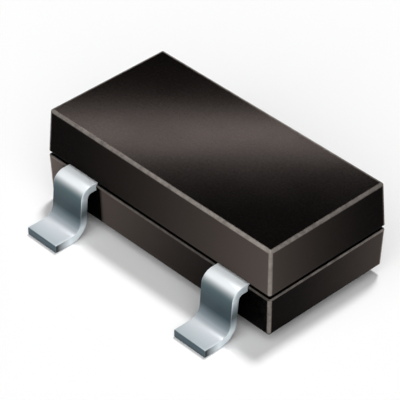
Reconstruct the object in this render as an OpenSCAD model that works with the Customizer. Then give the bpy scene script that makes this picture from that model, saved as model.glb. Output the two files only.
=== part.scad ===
// Three-lead surface-mount transistor in a moulded SOT-23 package, in millimetres.
// X runs along the body, Y across it and Z up. The origin lies under the middle
// of the body, on the plane that the feet of the leads stand on.

/* [Moulded body] */
// Length of the body at the parting line
body_length = 2.80; // [2.70:0.01:3.10]
// Width of the body at the parting line
body_width = 1.40; // [1.30:0.01:1.60]
// Height of the half above the parting line
upper_height = 0.47; // [0.42:0.01:0.60]
// Height of the half below the parting line
lower_height = 0.42; // [0.36:0.01:0.52]
// Air gap between the seating plane and the underside
standoff = 0.10; // [0.02:0.01:0.15]
// Lean of the upper walls that lets the mould open, in degrees
upper_draft = 3; // [1:0.5:10]
// Lean of the lower walls that lets the mould open, in degrees
lower_draft = 2; // [1:0.5:10]
// Radius on the outer edges and corners
edge_radius = 0.02; // [0.01:0.005:0.05]
// Depth of the groove that runs round the parting line
groove_depth = 0.04; // [0.02:0.005:0.06]
// Height of each of the groove's two flanks
groove_height = 0.02; // [0.01:0.005:0.03]

/* [Leads] */
// Spacing of the lead positions: the pair on one side is two of these apart
lead_pitch = 0.95; // [0.90:0.01:1.00]
// Width of the lead strip
lead_width = 0.38; // [0.30:0.01:0.45]
// Thickness of the lead strip
lead_thickness = 0.08; // [0.08:0.005:0.15]
// Reach of a lead from the body wall to the tip of its foot
lead_reach = 0.49; // [0.44:0.01:0.60]
// Straight run between the wall and the upper bend
shoulder_length = 0.05; // [0.03:0.005:0.08]
// Radius inside the upper bend
shoulder_radius = 0.045; // [0.03:0.005:0.06]
// Radius inside the bend above the foot
heel_radius = 0.11; // [0.06:0.005:0.13]
// Angle that the leg makes with the foot, in degrees
leg_angle = 85; // [75:1:90]

/* [Lead frame inside] */
// Length of the heads that anchor the base and emitter leads in the moulding
head_length = 0.50; // [0.46:0.01:0.60]
// Width of those heads across the body
head_width = 0.38; // [0.30:0.01:0.45]
// Moulding between a long wall and a head or the die paddle
frame_cover = 0.16; // [0.12:0.01:0.20]
// Gap between the paddle and the heads
frame_gap = 0.15; // [0.12:0.01:0.18]

/* [Chip and wires] */
// Side of the square silicon die
die_side = 0.50; // [0.35:0.01:0.60]
// Thickness of the die
die_thickness = 0.14; // [0.10:0.01:0.18]
// Thickness of the adhesive under the die
attach_thickness = 0.02; // [0.01:0.005:0.03]
// Width of the adhesive that shows round the die
attach_margin = 0.02; // [0.01:0.005:0.04]
// Distance of each bond pad from the middle of the die
pad_offset = 0.11; // [0.08:0.01:0.12]
// Diameter of the bond wires
wire_diameter = 0.04; // [0.03:0.005:0.05]
// Diameter of the ball that welds a wire to its pad
ball_diameter = 0.09; // [0.08:0.005:0.10]
// Height of that ball
ball_height = 0.025; // [0.02:0.005:0.04]
// Straight rise of a wire above its ball
wire_rise = 0.04; // [0.03:0.005:0.06]
// Radius of a wire's loop, at the middle of the wire
loop_radius = 0.07; // [0.06:0.005:0.09]

/* [Hidden] */
$fn = 32;

// Levels above the seating plane: the strip's upper face lies on the parting line
parting_level = standoff + lower_height;
frame_underside = parting_level - lead_thickness;
die_underside = parting_level + attach_thickness;
die_top = die_underside + die_thickness;

// A formed lead, measured along the strip's upper face
lead_drop = parting_level - lead_thickness;
bend_radii = shoulder_radius + lead_thickness + heel_radius;
leg_length = (lead_drop - bend_radii * (1 - cos(leg_angle))) / sin(leg_angle);
leg_reach = bend_radii * sin(leg_angle) + leg_length * cos(leg_angle);
foot_length = lead_reach - shoulder_length - leg_reach;

// The flat lead frame inside the moulding
wall_y = body_width / 2;
frame_edge_y = wall_y - frame_cover;
head_y = frame_edge_y - head_width / 2;
paddle_length = 2 * (lead_pitch - head_length / 2 - frame_gap);
paddle_width = 2 * frame_edge_y;

// A bond wire from its pad to the middle of a head, in the upright plane of the wire:
// its slope is the line from the landing point that just touches the loop
wire_run = [lead_pitch - pad_offset, -head_y];
wire_span = norm(wire_run);
wire_heading = atan2(wire_run[1], wire_run[0]);
loop_level = die_top + ball_height + wire_rise;
loop_to_landing = [wire_span - loop_radius, loop_level - parting_level];
landing_distance = norm(loop_to_landing);
wire_slope = atan2(loop_to_landing[1], loop_to_landing[0]) + asin(loop_radius / landing_distance);
slope_length = sqrt(landing_distance * landing_distance - loop_radius * loop_radius);

// Moulded body

module at_corners(length, width) {
    for (x = [-1, 1], y = [-1, 1])
        translate([x * length / 2, y * width / 2, 0]) children();
}

module corner_dome() {
    rotate_extrude() intersection() {
        circle(edge_radius);
        square(edge_radius);
    }
}

// One half of the body, from the parting line at Z = 0 up to its outer face
module moulded_half(height, draft) {
    length = body_length - 2 * edge_radius;
    width = body_width - 2 * edge_radius;
    dome_level = height - edge_radius;
    lean = (dome_level - groove_height) * tan(draft);
    hull() {
        at_corners(length - 2 * groove_depth, width - 2 * groove_depth) corner_dome();
        translate([0, 0, groove_height]) at_corners(length, width) corner_dome();
        translate([0, 0, dome_level]) at_corners(length - 2 * lean, width - 2 * lean) corner_dome();
    }
}

module mould_body() {
    color("#221f1e") difference() {
        translate([0, 0, parting_level]) {
            moulded_half(upper_height, upper_draft);
            mirror([0, 0, 1]) moulded_half(lower_height, lower_draft);
        }
        base_lead();
        emitter_lead();
        collector_lead();
        die_attach();
        silicon_die();
        base_wire();
        emitter_wire();
    }
}

// Leads, bent from flat strip. A run or bend starts with the strip's upper face
// on the X axis, and its children start where it ends.

module run(length) {
    translate([0, -lead_thickness, -lead_width / 2])
        cube([length, lead_thickness, lead_width]);
    translate([length, 0, 0]) children();
}

module bend_arc(radius) {
    rotate_extrude(angle = leg_angle)
        translate([radius, -lead_width / 2]) square([lead_thickness, lead_width]);
}

module bend_down(radius) {
    translate([0, -radius - lead_thickness, 0]) {
        rotate([0, 0, 90 - leg_angle]) bend_arc(radius);
        rotate([0, 0, -leg_angle]) translate([0, radius + lead_thickness, 0]) children();
    }
}

module bend_up(radius) {
    translate([0, radius, 0]) {
        rotate([0, 0, -90]) bend_arc(radius);
        rotate([0, 0, leg_angle]) translate([0, -radius, 0]) children();
    }
}

// The part of a lead outside the moulding, from the wall outwards along +Y
module gull_wing() {
    translate([0, wall_y, parting_level]) rotate([90, 0, 90])
        run(shoulder_length) bend_down(shoulder_radius)
            run(leg_length) bend_up(heel_radius) run(foot_length);
}

// A rectangle of the flat frame, centred at the given Y
module frame_plate(length, width, y) {
    translate([-length / 2, y - width / 2, frame_underside])
        cube([length, width, lead_thickness]);
}

// A lead on the +Y side whose strip ends in a plate inside the moulding
module framed_lead(plate_length, plate_width, plate_y) {
    gull_wing();
    frame_plate(lead_width, frame_cover, wall_y - frame_cover / 2);
    frame_plate(plate_length, plate_width, plate_y);
}

module headed_lead(x) {
    color("#c9d1d6") translate([x, 0, 0]) rotate([0, 0, 180])
        framed_lead(head_length, head_width, head_y);
}

module base_lead() {
    headed_lead(-lead_pitch);
}

module emitter_lead() {
    headed_lead(lead_pitch);
}

module collector_lead() {
    color("#c9d1d6") framed_lead(paddle_length, paddle_width, 0);
}

// Chip, its adhesive and its bond wires

module square_plate(side, thickness, level) {
    translate([-side / 2, -side / 2, level]) cube([side, side, thickness]);
}

module die_attach() {
    color("#8d8f90") square_plate(die_side + 2 * attach_margin, attach_thickness, parting_level);
}

module silicon_die() {
    color("#5b6470") square_plate(die_side, die_thickness, die_underside);
}

module wire_rod(length) {
    cylinder(d = wire_diameter, h = length);
}

// A wire in the XZ plane: ball on the pad at X = 0, loop, and slope down to the head,
// where the rod is cut off flat by the head's upper face
module bond_wire() {
    translate([0, 0, die_top]) {
        cylinder(d = ball_diameter, h = ball_height);
        translate([0, 0, ball_height]) wire_rod(wire_rise);
    }
    translate([loop_radius, 0, loop_level]) rotate([90, 0, 0]) rotate([0, 0, 90 - wire_slope])
        rotate_extrude(angle = 90 + wire_slope)
            translate([loop_radius, 0]) circle(d = wire_diameter);
    difference() {
        translate([loop_radius, 0, loop_level]) rotate([0, 90 + wire_slope, 0])
            translate([-loop_radius, 0, 0]) wire_rod(slope_length + wire_diameter / sin(wire_slope));
        translate([0, -wire_diameter, frame_underside])
            cube([2 * wire_span, 2 * wire_diameter, lead_thickness]);
    }
}

module wire_from_pad(x, heading) {
    color("#d9b04c") translate([x, 0, 0]) rotate([0, 0, heading]) bond_wire();
}

module base_wire() {
    wire_from_pad(-pad_offset, 180 - wire_heading);
}

module emitter_wire() {
    wire_from_pad(pad_offset, wire_heading);
}

mould_body();
base_lead();
emitter_lead();
collector_lead();
silicon_die();
die_attach();
base_wire();
emitter_wire();
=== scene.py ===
import math

import bmesh
import bpy
from mathutils import Matrix, Vector


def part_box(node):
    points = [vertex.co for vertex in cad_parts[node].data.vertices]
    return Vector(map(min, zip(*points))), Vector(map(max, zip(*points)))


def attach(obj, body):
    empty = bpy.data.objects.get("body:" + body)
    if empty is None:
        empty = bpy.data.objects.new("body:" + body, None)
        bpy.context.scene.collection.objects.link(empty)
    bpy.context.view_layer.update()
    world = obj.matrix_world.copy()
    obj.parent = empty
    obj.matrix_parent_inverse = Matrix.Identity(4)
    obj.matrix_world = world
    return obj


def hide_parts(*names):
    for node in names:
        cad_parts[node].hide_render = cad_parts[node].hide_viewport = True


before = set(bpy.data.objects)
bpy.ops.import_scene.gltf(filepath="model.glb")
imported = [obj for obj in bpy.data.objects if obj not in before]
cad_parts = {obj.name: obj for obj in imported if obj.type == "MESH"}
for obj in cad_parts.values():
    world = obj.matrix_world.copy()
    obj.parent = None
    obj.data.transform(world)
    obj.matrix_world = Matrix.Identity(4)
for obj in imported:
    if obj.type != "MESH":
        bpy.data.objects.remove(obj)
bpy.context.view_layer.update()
metre = 1000.0  # pieces are shaped in millimetres, one metre is this many
scene = bpy.context.scene
print("frame loaded with", len(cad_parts), "CAD nodes")


def boxOf(node):  # lowest and highest corner of a CAD node, in millimetres
    return [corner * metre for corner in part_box(node)]


bodyLow, bodyHigh = boxOf("mould_body")
leadLow, leadHigh = boxOf("base_lead")
partingLevel = leadHigh.z  # the strip's upper face lies on the mould's parting line
leadPitch = -(leadLow.x + leadHigh.x) / 2  # from the middle of the body to a lead of the near pair


def fromHex(code):
    levels = [int(code[i:i + 2], 16) / 255 for i in (1, 3, 5)]
    return [v / 12.92 if v <= 0.04045 else ((v + 0.055) / 1.055) ** 2.4 for v in levels] + [1.0]


def perSize(millimetres):  # texture scale for a pattern of this size, object coordinates being metres
    return metre / millimetres


def newMaterial(name):
    material = bpy.data.materials.new(name)
    material.use_nodes = True
    material.node_tree.nodes.clear()
    return material


def addNode(tree, kind, inputs, out=0, **settings):  # gives the node's first output, or the one named
    node = tree.nodes.new("ShaderNode" + kind)
    for name, value in settings.items():
        setattr(node, name, value)
    for name, value in inputs.items():
        if isinstance(value, bpy.types.NodeSocket):
            tree.links.new(value, node.inputs[name])
        else:
            node.inputs[name].default_value = value
    return node.outputs[out] if node.outputs else None


# Black epoxy moulding compound, transfer moulded round the lead frame in a spark-eroded
# mould: a warm near-black satin with a fine filler grain, a brown-grey painted sheen that
# drifts along its walls in place of their reflections, and edges painted paler, partly wear and partly
# painted highlight.
compoundLook = {
    "dark": "#020202", "filler": "#090807", "fillerSpread": (0.45, 0.70),  # grain levels, none to full
    # painted sheen: a brown-grey tone painted on the walls in place of their reflections
    "paintedSheen": "#655B56", "paintedSheenFalloff": 2.0,
    "paintedSheenEnds": 0.43, "paintedSheenSides": (1.0, 0.65),  # share on the end walls, on the long ones below, above
    "paintedSheenLevel": (0.2, 0.6),  # how level a face is where the painted sheen begins to thin, and where it is gone
    "leadShadowHalf": (0.23, 0.27),  # none of it behind a lead, a painted shadow, this far from the lead's middle
    "paintedShading": "#B6ADA6", "paintedShadingLeast": 0.7,  # paler edges, partly wear and partly painted highlight; its share where the painted sheen is thinnest
    "scuffSpread": (0.30, 0.60), "scuffLeast": 0.55,  # patches in the paler edges
    "grainSize": 0.03,  # filler is nearer 0.02 mm, drawn coarser to show
    "cloudSize": 0.7, "cloudSpread": (0.3, 0.7),
    "scuffSize": 0.06,
    "roughness": (0.14, 0.17),
    "grainHeight": 0.0002, "grainStrength": 0.4,
    "specular": 0.01, "specularTint": "#FFA56F", "ior": 1.55,
}


# painted sheen: a paler tone painted on the walls, standing in for their reflections
def paintedSheenOnWalls(tree, place, look):
    at = addNode(tree, "SeparateXYZ", {"Vector": place}).node.outputs
    normal = addNode(tree, "NewGeometry", {}, out="Normal")
    facing = addNode(tree, "SeparateXYZ", {"Vector": normal}).node.outputs
    alongX, longWall, level = [addNode(tree, "Math", {0: value}, operation="ABSOLUTE")
                               for value in (at["X"], facing["Y"], facing["Z"])]
    above = addNode(tree, "Math", {0: at["Z"], 1: partingLevel / metre}, operation="GREATER_THAN")
    # the painted sheen gathers towards two opposite corners, and towards the other two below the parting
    # line
    corner = addNode(tree, "Math", {0: at["X"], 1: at["Y"]}, operation="MULTIPLY")
    swing = addNode(tree, "MapRange", {"Value": above, "To Min": 1.0, "To Max": -1.0})
    toward = addNode(tree, "Math", {0: corner, 1: swing}, operation="MULTIPLY")
    reach = bodyHigh.x * bodyHigh.y / metre ** 2
    drift = addNode(tree, "MapRange", {"Value": toward, "From Min": -reach, "From Max": reach})
    paintedSheen = addNode(tree, "Math", {0: drift, 1: look["paintedSheenFalloff"]}, operation="POWER")
    sides = addNode(tree, "MapRange", {"Value": above, "To Min": look["paintedSheenSides"][0],
                                       "To Max": look["paintedSheenSides"][1]})
    share = addNode(tree, "MapRange", {"Value": longWall, "To Min": look["paintedSheenEnds"], "To Max": sides})
    # below the parting line the painted sheen is left off the wall behind each lead, a painted shadow of the
    # lead: two leads near, one far
    fromPair = addNode(tree, "Math", {0: alongX, 1: leadPitch / metre}, operation="SUBTRACT")
    fromPair = addNode(tree, "Math", {0: fromPair}, operation="ABSOLUTE")
    farSide = addNode(tree, "Math", {0: at["Y"], 1: 0.0}, operation="GREATER_THAN")
    fromLead = addNode(tree, "MapRange", {"Value": farSide, "To Min": fromPair, "To Max": alongX})
    clear = addNode(tree, "MapRange", {"Value": fromLead, "From Min": look["leadShadowHalf"][0] / metre,
                                       "From Max": look["leadShadowHalf"][1] / metre})
    clear = addNode(tree, "Math", {0: clear, 1: above}, operation="MAXIMUM")
    wall = addNode(tree, "MapRange", {"Value": level, "From Min": look["paintedSheenLevel"][0],
                                      "From Max": look["paintedSheenLevel"][1], "To Min": 1.0, "To Max": 0.0})
    for factor in (share, clear, wall):
        paintedSheen = addNode(tree, "Math", {0: paintedSheen, 1: factor}, operation="MULTIPLY")
    return paintedSheen, drift


def mouldingCompound(look):
    material = newMaterial("epoxyMouldingCompound")
    tree = material.node_tree
    place = addNode(tree, "TexCoord", {}, out="Object")
    grain = addNode(tree, "TexNoise", {"Vector": place, "Scale": perSize(look["grainSize"]),
                                       "Detail": 3.0, "Roughness": 0.6})
    cloud = addNode(tree, "TexNoise", {"Vector": place, "Scale": perSize(look["cloudSize"]), "Detail": 2.0})
    scuff = addNode(tree, "TexNoise", {"Vector": place, "Scale": perSize(look["scuffSize"]),
                                       "Detail": 4.0, "Roughness": 0.65})
    filled = addNode(tree, "MapRange", {"Value": grain, "From Min": look["fillerSpread"][0],
                                        "From Max": look["fillerSpread"][1]})
    colour = addNode(tree, "MixRGB", {"Fac": filled, "Color1": fromHex(look["dark"]),
                                      "Color2": fromHex(look["filler"])})
    paintedSheen, drift = paintedSheenOnWalls(tree, place, look)
    # the painted sheen mixed into the colour
    colour = addNode(tree, "MixRGB", {"Fac": paintedSheen, "Color1": colour, "Color2": fromHex(look["paintedSheen"])})
    # edges painted paler, partly wear and partly painted highlight, fuller where the painted sheen gathers
    paintedShading = addNode(tree, "Attribute", {}, out="Fac", attribute_name="edgeWearAndHighlight")
    patches = addNode(tree, "MapRange", {"Value": scuff, "From Min": look["scuffSpread"][0],
                                         "From Max": look["scuffSpread"][1], "To Min": look["scuffLeast"]})
    strength = addNode(tree, "MapRange", {"Value": drift, "To Min": look["paintedShadingLeast"]})
    for factor in (patches, strength):
        paintedShading = addNode(tree, "Math", {0: paintedShading, 1: factor}, operation="MULTIPLY")
    colour = addNode(tree, "MixRGB", {"Fac": paintedShading, "Color1": colour, "Color2": fromHex(look["paintedShading"])})
    satin = addNode(tree, "MapRange", {"Value": cloud, "From Min": look["cloudSpread"][0],
                                       "From Max": look["cloudSpread"][1], "To Min": look["roughness"][0],
                                       "To Max": look["roughness"][1]})
    bump = addNode(tree, "Bump", {"Height": grain, "Strength": look["grainStrength"],
                                  "Distance": look["grainHeight"] / metre})
    surface = addNode(tree, "BsdfPrincipled", {
        "Base Color": colour, "Roughness": satin, "Normal": bump, "IOR": look["ior"],
        "Specular IOR Level": look["specular"], "Specular Tint": fromHex(look["specularTint"])})
    addNode(tree, "OutputMaterial", {"Surface": surface})
    return material


# Bright tin, plated over stamped copper-alloy strip: a cool pale silver with a soft sheen,
# with painted light and shade: paler high up, darker on the foot, darker and bluer on the upright faces and
# the cut sides.
# Heights and distances from the middle of the part are in millimetres.
tinLook = {
    # the plate high up is painted paler than the foot, painted light, and the foot darker towards its tip,
    # painted shade
    "bright": "#F6FAFC", "cool": "#EAF0F3",
    "foot": "#E6EBF0", "tip": "#BECACF", "footLevels": (0.15, 0.45), "footEnds": (1.00, 1.19),
    # painted reflection and shade on the cut sides by height: a dark band half way up, and dark at the
    # foot's corner
    "cutSideShading": ((0.11, "#E6F0F5"), (0.175, "#A5B0B6"), (0.215, "#788288"), (0.245, "#525C61"),
                (0.28, "#5B666B"), (0.35, "#9AA5AB"), (0.41, "#D0DBE1")),
    "cutSideCornerShade": "#1C2327", "cutSideShadingEnds": (1.02, 1.17), "cutSideFacing": (0.6, 0.95),
    # painted shade on the upright faces, by height: cut tip, heel, foot of the leg, its middle, its top
    "paintedShading": ((0.08, "#42525A"), (0.11, "#8C989F"), (0.18, "#5A686E"), (0.225, "#33434A"),
               (0.29, "#33434A"), (0.42, "#43575C")),
    # how upright a bend is where that tone begins and ends, with the heights of the change-over
    "heelFacing": (0.0, 0.95), "crestFacing": (0.57, 1.02), "legLevels": (0.20, 0.42),
    "grainSize": 0.025, "grainSpread": (0.3, 0.7),  # crystals are nearer 0.005 mm, drawn coarser to show
    "streakSize": 0.25,
    "metallic": 0.2, "specular": 0.2,  # low, because the fine crystals scatter most of the light
    "roughness": (0.30, 0.40),
    "grainHeight": 0.0006, "grainStrength": 0.3,
}


def brightTin(look):
    material = newMaterial("brightTinPlate")
    tree = material.node_tree
    place = addNode(tree, "TexCoord", {}, out="Object")
    grain = addNode(tree, "TexNoise", {"Vector": place, "Scale": perSize(look["grainSize"]), "Detail": 3.0})
    streak = addNode(tree, "TexNoise", {"Vector": place, "Scale": perSize(look["streakSize"]),
                                        "Detail": 2.0})
    at = addNode(tree, "SeparateXYZ", {"Vector": place}).node.outputs
    normal = addNode(tree, "NewGeometry", {}, out="Normal")
    facing = addNode(tree, "SeparateXYZ", {"Vector": normal}).node.outputs
    outward, upright, sideways = [addNode(tree, "Math", {0: value}, operation="ABSOLUTE")
                                  for value in (at["Y"], facing["Y"], facing["X"])]
    along = {}
    for name, value in (("footLevels", at["Z"]), ("legLevels", at["Z"]),
                        ("footEnds", outward), ("cutSideShadingEnds", outward)):
        along[name] = addNode(tree, "MapRange", {"Value": value, "From Min": look[name][0] / metre,
                                                 "From Max": look[name][1] / metre})
    height = addNode(tree, "Math", {0: at["Z"], 1: metre}, operation="MULTIPLY")
    tones = {}
    for name in ("paintedShading", "cutSideShading"):
        tones[name] = addNode(tree, "ValToRGB", {"Fac": height})
        stops = tones[name].node.color_ramp.elements
        while len(stops) < len(look[name]):
            stops.new(1.0)
        for stop, (level, tone) in zip(stops, look[name]):
            stop.position = level
            stop.color = fromHex(tone)
    plate = addNode(tree, "MixRGB", {"Fac": streak, "Color1": fromHex(look["bright"]),
                                     "Color2": fromHex(look["cool"])})
    # the foot painted darker than the plate above and darker towards its tip, painted shade
    foot = addNode(tree, "MixRGB", {"Fac": along["footEnds"], "Color1": fromHex(look["foot"]),
                                    "Color2": fromHex(look["tip"])})
    colour = addNode(tree, "MixRGB", {"Fac": along["footLevels"], "Color1": foot, "Color2": plate})
    # cut sides: painted reflection and shade by height, darkest at the foot's corner
    side = addNode(tree, "MixRGB", {"Fac": along["cutSideShadingEnds"], "Color1": tones["cutSideShading"],
                                    "Color2": fromHex(look["cutSideCornerShade"])})
    cutSideShading = addNode(tree, "MapRange", {"Value": sideways, "From Min": look["cutSideFacing"][0],
                                         "From Max": look["cutSideFacing"][1]})
    colour = addNode(tree, "MixRGB", {"Fac": cutSideShading, "Color1": colour, "Color2": side})
    # upright faces painted darker and bluer, painted shade
    begins, ends = [addNode(tree, "MapRange", {"Value": along["legLevels"], "To Min": heel, "To Max": crest})
                    for heel, crest in zip(look["heelFacing"], look["crestFacing"])]
    paintedShading = addNode(tree, "MapRange", {"Value": upright, "From Min": begins, "From Max": ends},
                     interpolation_type="SMOOTHSTEP")
    colour = addNode(tree, "MixRGB", {"Fac": paintedShading, "Color1": colour, "Color2": tones["paintedShading"]})
    sheen = addNode(tree, "MapRange", {"Value": grain, "From Min": look["grainSpread"][0],
                                       "From Max": look["grainSpread"][1], "To Min": look["roughness"][0],
                                       "To Max": look["roughness"][1]})
    bump = addNode(tree, "Bump", {"Height": grain, "Strength": look["grainStrength"],
                                  "Distance": look["grainHeight"] / metre})
    surface = addNode(tree, "BsdfPrincipled", {
        "Base Color": colour, "Metallic": look["metallic"], "Specular IOR Level": look["specular"],
        "Roughness": sheen, "Normal": bump})
    addNode(tree, "OutputMaterial", {"Surface": surface})
    return material


compound = mouldingCompound(compoundLook)
tin = brightTin(tinLook)
print("materials made for the body and the leads")


def facesIn(geometry):
    return [g for g in geometry if isinstance(g, bmesh.types.BMFace)]


def vertsIn(geometry):
    return [g for g in geometry if isinstance(g, bmesh.types.BMVert)]


def extrudeFace(bm, face, keep=False):  # a new face to move on, the old one kept only where it is an end
    grown = bmesh.ops.extrude_face_region(bm, geom=[face])["geom"]
    if not keep:
        bmesh.ops.delete(bm, geom=[face], context="FACES_ONLY")
    return facesIn(grown)[0]


flatRims = {"leastFlat": 0.025, "width": 0.007}  # narrowest face that counts as a flat, and its rim


def rimFlats(bm, shape):  # a narrow rim round each flat keeps it flat in smooth shading
    bmesh.ops.recalc_face_normals(bm, faces=bm.faces[:])
    flats = [f for f in bm.faces if min(e.calc_length() for e in f.edges) > shape["leastFlat"]]
    return set(bmesh.ops.inset_individual(bm, faces=flats, thickness=shape["width"],
                                          use_even_offset=True)["faces"])


def finishPiece(bm, name, material, node):
    openEdges = sum(len(e.link_faces) != 2 for e in bm.edges)
    bmesh.ops.scale(bm, verts=bm.verts[:], vec=Vector((1, 1, 1)) / metre)
    mesh = bpy.data.meshes.new(name)
    bm.to_mesh(mesh)
    bm.free()
    mesh.shade_smooth()
    mesh.materials.append(material)
    piece = bpy.data.objects.new(name, mesh)
    scene.collection.objects.link(piece)
    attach(piece, "root")
    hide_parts(node)
    print("piece", name, len(mesh.polygons), "faces,", openEdges, "open edges")
    return piece


# Moulded body: one outline carried up through its levels, with the groove round the
# parting line between the two halves of the mould.
bodyShape = {
    "upperDraft": 3.0, "lowerDraft": 2.0,  # degrees
    "grooveDepth": 0.04, "grooveHeight": 0.02,  # height of each flank
    "edgeRadius": 0.02, "edgeSteps": 6,
    "lowerLip": 0.010, "upperLip": 0.006, "lipSteps": 3, "lipSlack": 0.003,
    # how pale each kind of edge is painted, partly wear and partly painted highlight: along the body, and
    # across it
    "topWearAndHighlight": (0.60, 0.43), "upperCornerWearAndHighlight": 0.45, "lowerCornerWearAndHighlight": 0.64,
    "lowerLipWearAndHighlight": (0.25, 0.45), "upperLipWearAndHighlight": (0.0, 0.0),
    "rimWearAndHighlight": 0.6,  # share of an edge's paler tone that its rims take
}


def liesAt(edge, level, slack):
    return all(abs(v.co.z - level) < slack for v in edge.verts)


def onEnd(face):  # 1 on the ends of the body, 0 along it
    middle = face.calc_center_median()
    return int(bodyHigh.x - abs(middle.x) < bodyHigh.y - abs(middle.y))


def makeBody(shape):
    lowerEdge = partingLevel - shape["grooveHeight"]
    upperEdge = partingLevel + shape["grooveHeight"]
    lowerLean = (lowerEdge - bodyLow.z) * math.tan(math.radians(shape["lowerDraft"]))
    upperLean = (bodyHigh.z - upperEdge) * math.tan(math.radians(shape["upperDraft"]))
    levels = [(bodyLow.z, lowerLean), (lowerEdge, 0.0), (partingLevel, shape["grooveDepth"]),
              (upperEdge, 0.0), (bodyHigh.z, upperLean)]  # height, and how far the outline is set in
    bm = bmesh.new()
    bmesh.ops.create_grid(bm, x_segments=1, y_segments=1, size=0.5)
    face = bm.faces[:][0]
    for step, (level, inset) in enumerate(levels):
        if step:
            face = extrudeFace(bm, face, keep=step == 1)
        corner = face.verts[0].co
        size = ((bodyHigh.x - inset) / abs(corner.x), (bodyHigh.y - inset) / abs(corner.y), 1)
        bmesh.ops.scale(bm, verts=face.verts[:], vec=size)
        bmesh.ops.translate(bm, verts=face.verts[:], vec=(0, 0, level - corner.z))
    # paler edges, partly wear and partly painted highlight, stored per face for the material
    wearAndHighlight = bm.faces.layers.float.new("edgeWearAndHighlight")
    grooveLevels = (lowerEdge, partingLevel, upperEdge)
    outer = [e for e in bm.edges if not any(liesAt(e, z, shape["lipSlack"]) for z in grooveLevels)]
    rounded = bmesh.ops.bevel(bm, geom=outer, offset=shape["edgeRadius"], offset_type="OFFSET",
                              affect="EDGES", segments=shape["edgeSteps"], profile=0.5, material=-1)
    # top edges and corners painted paler, partly wear and partly painted highlight; the bottom edges not
    for f in rounded["faces"]:
        height = f.calc_center_median().z
        if height > bodyHigh.z - shape["edgeRadius"]:
            f[wearAndHighlight] = shape["topWearAndHighlight"][onEnd(f)]
        elif height > upperEdge:
            f[wearAndHighlight] = shape["upperCornerWearAndHighlight"]
        elif bodyLow.z + shape["edgeRadius"] < height < lowerEdge:
            f[wearAndHighlight] = shape["lowerCornerWearAndHighlight"]
    # the lower lip, facing up, painted paler as highlight and wear; the upper lip not
    for level, radius, lipWearAndHighlight in ((lowerEdge, shape["lowerLip"], shape["lowerLipWearAndHighlight"]),
                                   (upperEdge, shape["upperLip"], shape["upperLipWearAndHighlight"])):
        lip = [e for e in bm.edges if liesAt(e, level, shape["lipSlack"])]
        rounded = bmesh.ops.bevel(bm, geom=lip, offset=radius, offset_type="OFFSET", affect="EDGES",
                                  segments=shape["lipSteps"], profile=0.5, material=-1)
        for f in rounded["faces"]:
            f[wearAndHighlight] = lipWearAndHighlight[onEnd(f)]
    rims = rimFlats(bm, flatRims)
    for f in rims:
        if not lowerEdge < f.calc_center_median().z < upperEdge:  # the groove is not painted paler
            f[wearAndHighlight] = shape["rimWearAndHighlight"] * max(n[wearAndHighlight] for e in f.edges for n in e.link_faces if n not in rims)
    return finishPiece(bm, "mouldedBody", compound, "mould_body")


body = makeBody(bodyShape)

# Leads: flat strip stamped with a plate at its inner end, then bent down, along and out.
leadShape = {
    "width": 0.38, "thickness": 0.08,
    "cover": 0.16,  # moulding between the body's wall and the plate
    "shoulder": 0.05, "shoulderRadius": 0.045, "heelRadius": 0.11,
    "legAngle": 85.0, "bendSteps": 14,  # degrees
    "edge": 0.010, "edgeSteps": 3, "edgeAngle": 60.0,  # rounding of what is sharper than this
    "slack": 1e-5,
}


def runStrip(bm, end, step):
    end = extrudeFace(bm, end)
    bmesh.ops.translate(bm, verts=end.verts[:], vec=step)
    return end


def bendStrip(bm, end, centre, angle, steps):  # centre gives Y and Z
    swung = bmesh.ops.spin(bm, geom=[end], cent=(0, *centre), axis=(1, 0, 0), angle=angle, steps=steps,
                           use_duplicate=False)["geom_last"]
    bmesh.ops.delete(bm, geom=[end], context="FACES_ONLY")
    return facesIn(swung)[0]


def stampBlank(length, inner, shape):  # the plate, with its inner edge at this Y, and a neck up to the wall
    outer = bodyHigh.y - shape["cover"]
    half, slack = shape["width"] / 2, shape["slack"]
    bm = bmesh.new()
    bmesh.ops.create_grid(bm, x_segments=1, y_segments=1, size=0.5)
    bmesh.ops.scale(bm, verts=bm.verts[:], vec=(length, outer - inner, 1))
    bmesh.ops.translate(bm, verts=bm.verts[:], vec=(0, (inner + outer) / 2, partingLevel))
    for side in (-half, half):
        bmesh.ops.bisect_plane(bm, geom=bm.verts[:] + bm.edges[:] + bm.faces[:], plane_co=(side, 0, 0),
                               plane_no=(1, 0, 0))
    root = [e for e in bm.edges if all(v.co.y > outer - slack and abs(v.co.x) < half + slack
                                       for v in e.verts)]
    neck = vertsIn(bmesh.ops.extrude_edge_only(bm, edges=root)["geom"])
    bmesh.ops.translate(bm, verts=neck, vec=(0, shape["cover"], 0))
    under = vertsIn(bmesh.ops.extrude_face_region(bm, geom=bm.faces[:])["geom"])
    bmesh.ops.translate(bm, verts=under, vec=(0, 0, -shape["thickness"]))
    bmesh.ops.recalc_face_normals(bm, faces=bm.faces[:])
    return bm


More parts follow.
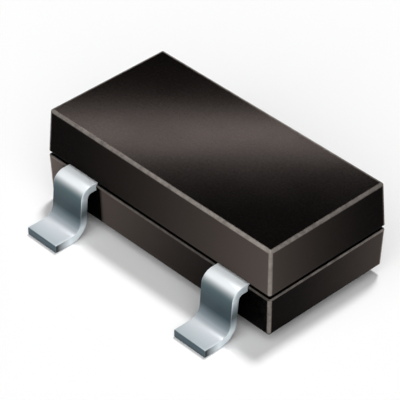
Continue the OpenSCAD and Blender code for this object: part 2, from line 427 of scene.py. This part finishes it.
def makeLead(name, node, shape):
    low, high = boxOf(node)
    middle = (low + high) / 2
    turn = math.pi if middle.y < 0 else 0.0  # each is shaped on the far side, the near pair is turned round
    inner, tip = (-high.y, -low.y) if turn else (low.y, high.y)
    bm = stampBlank(high.x - low.x, inner, shape)
    # from the wall outwards: shoulder, bend, leg, bend and foot
    thick, angle = shape["thickness"], math.radians(shape["legAngle"])
    radii = shape["shoulderRadius"] + thick + shape["heelRadius"]
    leg = (partingLevel - thick - radii * (1 - math.cos(angle))) / math.sin(angle)
    bent = radii * math.sin(angle) + leg * math.cos(angle)
    foot = tip - bodyHigh.y - shape["shoulder"] - bent
    upperCentre = (bodyHigh.y + shape["shoulder"], partingLevel - thick - shape["shoulderRadius"])
    lowerCentre = (tip - foot, thick + shape["heelRadius"])
    end = max(bm.faces, key=lambda f: f.calc_center_median().y)
    end = runStrip(bm, end, (0, shape["shoulder"], 0))
    end = bendStrip(bm, end, upperCentre, -angle, shape["bendSteps"])
    end = runStrip(bm, end, (0, leg * math.cos(angle), -leg * math.sin(angle)))
    end = bendStrip(bm, end, lowerCentre, angle, shape["bendSteps"])
    runStrip(bm, end, (0, foot, 0))
    bmesh.ops.recalc_face_normals(bm, faces=bm.faces[:])
    sharp = [e for e in bm.edges if e.calc_face_angle(0) > math.radians(shape["edgeAngle"])]
    bmesh.ops.bevel(bm, geom=sharp, offset=shape["edge"], offset_type="OFFSET", affect="EDGES",
                    segments=shape["edgeSteps"], profile=0.5, material=-1)
    bmesh.ops.rotate(bm, verts=bm.verts[:], cent=(0, 0, 0), matrix=Matrix.Rotation(turn, 3, "Z"))
    bmesh.ops.translate(bm, verts=bm.verts[:], vec=(middle.x, 0, 0))
    rimFlats(bm, flatRims)
    return finishPiece(bm, name, tin, node)


leads = [makeLead("baseLead", "base_lead", leadShape),
         makeLead("emitterLead", "emitter_lead", leadShape),
         makeLead("collectorLead", "collector_lead", leadShape)]

# What the moulding hides keeps its CAD solids: polished silicon, a blue-grey mirror with faint
# lapping marks; silver-filled epoxy, matt grey with paler flakes; drawn gold wire, a warm
# yellow with a fine grain from the die it was pulled through.
hiddenLooks = (
    {"name": "polishedSilicon", "nodes": ("silicon_die",), "tones": ("#4C5560", "#66707C"),
     "grainSize": 0.05, "metallic": 0.5, "roughness": (0.08, 0.18), "grainHeight": 0.0002},
    {"name": "silverFilledEpoxy", "nodes": ("die_attach",), "tones": ("#77797A", "#B4B6B6"),
     "grainSize": 0.01, "metallic": 0.1, "roughness": (0.45, 0.70), "grainHeight": 0.001},
    {"name": "drawnGoldWire", "nodes": ("base_wire", "emitter_wire"), "tones": ("#C99A36", "#E8C268"),
     "grainSize": 0.008, "metallic": 1.0, "roughness": (0.20, 0.32), "grainHeight": 0.0004},
)
hiddenGrain = {"spread": (0.35, 0.65), "strength": 0.4}


def grained(look, shared):
    material = newMaterial(look["name"])
    tree = material.node_tree
    place = addNode(tree, "TexCoord", {}, out="Object")
    grain = addNode(tree, "TexNoise", {"Vector": place, "Scale": perSize(look["grainSize"]), "Detail": 3.0})
    spread = addNode(tree, "MapRange", {"Value": grain, "From Min": shared["spread"][0],
                                        "From Max": shared["spread"][1]})
    colour = addNode(tree, "MixRGB", {"Fac": spread, "Color1": fromHex(look["tones"][0]),
                                      "Color2": fromHex(look["tones"][1])})
    sheen = addNode(tree, "MapRange", {"Value": spread, "To Min": look["roughness"][0],
                                       "To Max": look["roughness"][1]})
    bump = addNode(tree, "Bump", {"Height": grain, "Strength": shared["strength"],
                                  "Distance": look["grainHeight"] / metre})
    surface = addNode(tree, "BsdfPrincipled", {"Base Color": colour, "Metallic": look["metallic"],
                                               "Roughness": sheen, "Normal": bump})
    addNode(tree, "OutputMaterial", {"Surface": surface})
    return material


for look in hiddenLooks:
    material = grained(look, hiddenGrain)
    for node in look["nodes"]:
        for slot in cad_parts[node].material_slots:
            slot.material = material
        print("material", material.name, "on", node)

# Floor of white paper, white surroundings and the studio lamps.
studio = {
    "paper": "#FCFCFC", "fibreSize": 0.4, "paperRoughness": (0.85, 0.95),
    "floorRadius": 120.0, "floorSides": 64,
    "keyFrom": (-0.10, 0.27, 1.0), "keyStrength": 1.62, "keyAngle": 7.0,  # degrees
    "leadKeyFrom": (-0.10, 0.11, 1.0), "leadKeyStrength": 1.40, "leadKeyAngle": 20.0,
    "skyToward": (0.42, -0.61, 0.67), "skyEdge": (0.60, 0.90),  # cosines where the pale sky begins, is full
    "skyRadiance": 2.22, "darkRadiance": 0.02, "mirroredRadiance": 0.45,
    "stripAt": (-3.11, 2.92, 4.0), "stripAim": (-0.06, -0.06, 1.0), "stripSize": (3.85, 0.42),
    "stripRadiance": 45.5,
}


def makeFloor(look):
    material = newMaterial("whitePaper")
    tree = material.node_tree
    place = addNode(tree, "TexCoord", {}, out="Object")
    fibre = addNode(tree, "TexNoise", {"Vector": place, "Scale": perSize(look["fibreSize"])})
    matt = addNode(tree, "MapRange", {"Value": fibre, "To Min": look["paperRoughness"][0],
                                      "To Max": look["paperRoughness"][1]})
    paper = addNode(tree, "BsdfPrincipled", {"Base Color": fromHex(look["paper"]), "Roughness": matt,
                                             "Specular IOR Level": 0.0})
    clear = addNode(tree, "BsdfTransparent", {})
    below = addNode(tree, "NewGeometry", {}, out="Backfacing")
    both = addNode(tree, "MixShader", {0: below, 1: paper, 2: clear})  # clear from below
    addNode(tree, "OutputMaterial", {"Surface": both})
    bm = bmesh.new()
    bmesh.ops.create_circle(bm, cap_ends=True, segments=look["floorSides"],
                            radius=look["floorRadius"] / metre)
    mesh = bpy.data.meshes.new("floor")
    bm.to_mesh(mesh)
    bm.free()
    mesh.materials.append(material)
    floor = bpy.data.objects.new("floor", mesh)
    scene.collection.objects.link(floor)


def makeSurroundings(look):  # white to the eye, dimmer in reflections, and as light pale on one side
    world = bpy.data.worlds.new("studioSky")
    scene.world = world
    world.use_nodes = True
    tree = world.node_tree
    tree.nodes.clear()
    toward = addNode(tree, "TexCoord", {}, out="Generated")
    sky = addNode(tree, "VectorMath", {0: toward, 1: Vector(look["skyToward"]).normalized()}, out="Value",
                  operation="DOT_PRODUCT")
    level = addNode(tree, "MapRange", {"Value": sky, "From Min": look["skyEdge"][0],
                                       "From Max": look["skyEdge"][1], "To Min": look["darkRadiance"],
                                       "To Max": look["skyRadiance"]}, interpolation_type="SMOOTHSTEP")
    light = addNode(tree, "Background", {"Strength": level})
    ray = addNode(tree, "LightPath", {}).node.outputs
    mirrored = addNode(tree, "MapRange", {"Value": ray["Is Glossy Ray"], "To Min": 1.0,
                                          "To Max": look["mirroredRadiance"]})
    white = addNode(tree, "Background", {"Strength": mirrored})
    seen = ray["Is Camera Ray"]
    for kind in ("Is Glossy Ray", "Is Transmission Ray"):
        seen = addNode(tree, "Math", {0: seen, 1: ray[kind]}, operation="MAXIMUM")
    both = addNode(tree, "MixShader", {0: seen, 1: light, 2: white})
    addNode(tree, "OutputWorld", {"Surface": both})


def placeLamp(light, back, at=(0, 0, 0)):  # back points from what is lit to the lamp
    lamp = bpy.data.objects.new(light.name, light)
    lamp.location = Vector(at) / metre
    lamp.rotation_mode = "QUATERNION"
    lamp.rotation_quaternion = Vector(back).to_track_quat("Z", "Y")
    scene.collection.objects.link(lamp)
    return lamp


def keepTo(lamp, pieces, state):  # the lamp lights only these pieces, or all but these
    group = bpy.data.collections.new(lamp.name + "Pieces")
    for piece in pieces:
        group.objects.link(piece)
    for entry in group.collection_objects:
        entry.light_linking.link_state = state
    lamp.light_linking.receiver_collection = group


def makeLamps(look, polished, leads):
    # the leads have a key of their own, softer and nearer to overhead, that reaches in to the wall
    for name, state in (("key", "EXCLUDE"), ("leadKey", "INCLUDE")):
        key = bpy.data.lights.new(name, "SUN")
        key.energy = look[name + "Strength"]
        key.angle = math.radians(look[name + "Angle"])
        keepTo(placeLamp(key, look[name + "From"]), leads, state)

    strip = bpy.data.lights.new("backStrip", "AREA")
    strip.shape = "RECTANGLE"
    strip.size, strip.size_y = [side / metre for side in look["stripSize"]]
    strip.energy = look["stripRadiance"] * math.pi * strip.size * strip.size_y
    lamp = placeLamp(strip, Vector(look["stripAt"]) - Vector(look["stripAim"]), look["stripAt"])
    lamp.visible_camera = False  # a reflection on the polished top, not more light
    lamp.visible_diffuse = False
    keepTo(lamp, [polished], "INCLUDE")


makeFloor(studio)
makeSurroundings(studio)
makeLamps(studio, body, leads)
print("floor and lamps set")

# Camera at the photograph's angle.
shot = {
    "azimuth": 46.5, "elevation": 37.9,  # degrees
    "distance": 20.0, "lens": 205.6,
    "aim": (-0.043, -0.122, 0.432),
    "clip": (1.0, 1000.0),
}


def makeCamera(look):
    camera = bpy.data.cameras.new("camera")
    camera.lens = look["lens"]
    camera.clip_start, camera.clip_end = [distance / metre for distance in look["clip"]]
    azimuth, elevation = math.radians(look["azimuth"]), math.radians(look["elevation"])
    back = Vector((math.sin(azimuth) * math.cos(elevation), -math.cos(azimuth) * math.cos(elevation),
                   math.sin(elevation)))
    holder = bpy.data.objects.new("camera", camera)
    holder.location = (Vector(look["aim"]) + back * look["distance"]) / metre
    holder.rotation_mode = "QUATERNION"
    holder.rotation_quaternion = (-back).to_track_quat("-Z", "Y")
    scene.collection.objects.link(holder)
    scene.camera = holder


makeCamera(shot)
scene.view_settings.view_transform = "Standard"
print("camera set")

bpy.context.view_layer.update()
